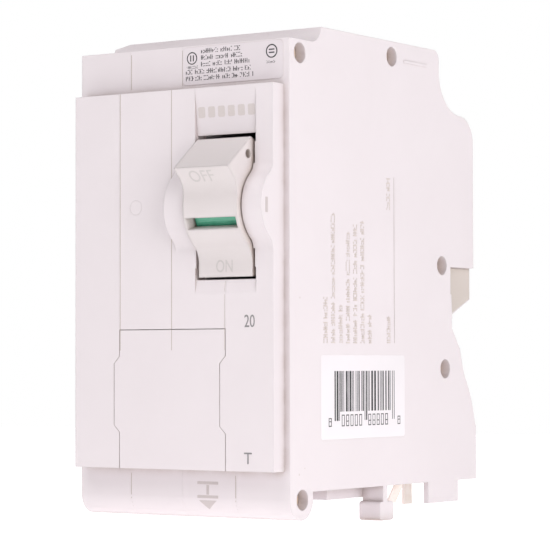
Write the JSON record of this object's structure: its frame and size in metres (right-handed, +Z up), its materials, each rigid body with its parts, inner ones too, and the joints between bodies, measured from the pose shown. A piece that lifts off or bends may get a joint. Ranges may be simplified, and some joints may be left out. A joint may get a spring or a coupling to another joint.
{
  "type": "plug-on circuit breaker",
  "caption": "Double-pole plug-on circuit breaker with a rocker handle and a window flag, a raised face, counterbored rivets, rail hooks and plug-on jaws.",
  "frame": {"origin": "centre of the raised front face", "axes": "+X to the right across the front, +Y back into the panel, +Z up with the handle's OFF end at the top"},
  "size_m": [0.0508, 0.0831, 0.0974],
  "materials": {
    "case_plastic": "fine satin moulding",
    "handle_plastic": "satin moulding",
    "label_film": "printed film label",
    "dark_plastic": "moulded phenolic",
    "green_plastic": "smooth",
    "red_plastic": "smooth",
    "steel": "zinc plated",
    "copper": "bare copper strip",
    "contact_metal": "silver alloy",
    "fibre": "vulcanised fibre",
    "bimetal": "rolled strip",
    "screw_brass": "turned brass"
  },
  "bodies": {
    "case": {"left_cover": "case_plastic", "left_base": "case_plastic", "right_base": "case_plastic", "right_cover": "case_plastic", "front_plate": "case_plastic", "rating_label": "label_film", "side_label": "label_film", "case_rivets": "steel", "handle_pin": "steel", "status_drum": "dark_plastic", "green_flag": "green_plastic", "red_flag": "red_plastic", "toggle_spring": "steel", "carrier_shaft": "steel", "left_fixed_contact": "contact_metal", "right_fixed_contact": "contact_metal", "left_line_jaw": "copper", "right_line_jaw": "copper", "left_arc_plates": "steel", "right_arc_plates": "steel", "left_arc_frame": "fibre", "right_arc_frame": "fibre", "trip_shaft": "steel", "trip_spring": "steel", "armature_pins": "steel", "left_magnet_yoke": "steel", "right_magnet_yoke": "steel", "left_bimetal": "bimetal", "right_bimetal": "bimetal", "left_load_strap": "copper", "right_load_strap": "copper", "left_wire_lug": "steel", "right_wire_lug": "steel", "left_lug_screw": "steel", "right_lug_screw": "steel", "calibration_screws": "screw_brass", "left_load_jaw": "copper", "right_load_jaw": "copper", "left_jaw_clip": "steel", "right_jaw_clip": "steel", "left_braid": "copper", "right_braid": "copper"},
    "handle": {"handle": "handle_plastic", "drive_pin": "steel"},
    "carrier": {"contact_carrier": "dark_plastic", "left_contact_arm": "copper", "right_contact_arm": "copper", "left_moving_contact": "contact_metal", "right_moving_contact": "contact_metal"},
    "trip_bar": {"trip_bar": "dark_plastic"},
    "left_armature": {"left_armature": "steel"},
    "right_armature": {"right_armature": "steel"}
  },
  "joints": [
    {"name": "handle_throw", "type": "hinge", "parent": "case", "child": "handle", "pos_m": [0.0129, 0.004, 0.0137], "axis": [-1, 0, 0], "range_deg": [0, 42.8], "deforming": ["toggle_spring"]},
    {"name": "carrier_swing", "type": "hinge", "parent": "case", "child": "carrier", "pos_m": [0, 0.04, 0.03], "axis": [1, 0, 0], "range_deg": [0, 23.27], "deforming": ["left_braid", "right_braid"]},
    {"name": "trip_bar_swing", "type": "hinge", "parent": "case", "child": "trip_bar", "pos_m": [0, 0.031, 0.004], "axis": [1, 0, 0], "range_deg": [0, 10], "stiffness_Nm_per_rad": 0.02, "springref_deg": -5.73},
    {"name": "left_armature_swing", "type": "hinge", "parent": "case", "child": "left_armature", "pos_m": [-0.0127, 0.0207, -0.031], "axis": [-1, 0, 0], "range_deg": [0, 3.1]},
    {"name": "right_armature_swing", "type": "hinge", "parent": "case", "child": "right_armature", "pos_m": [0.0127, 0.0207, -0.031], "axis": [-1, 0, 0], "range_deg": [0, 3.1]}
  ],
  "couplings": [
    {"joint": "carrier_swing", "follows": "handle_throw", "ratio": 0.5426},
    {"joint": "left_armature_swing", "follows": "trip_bar_swing", "ratio": 0.3},
    {"joint": "right_armature_swing", "follows": "trip_bar_swing", "ratio": 0.3}
  ]
}
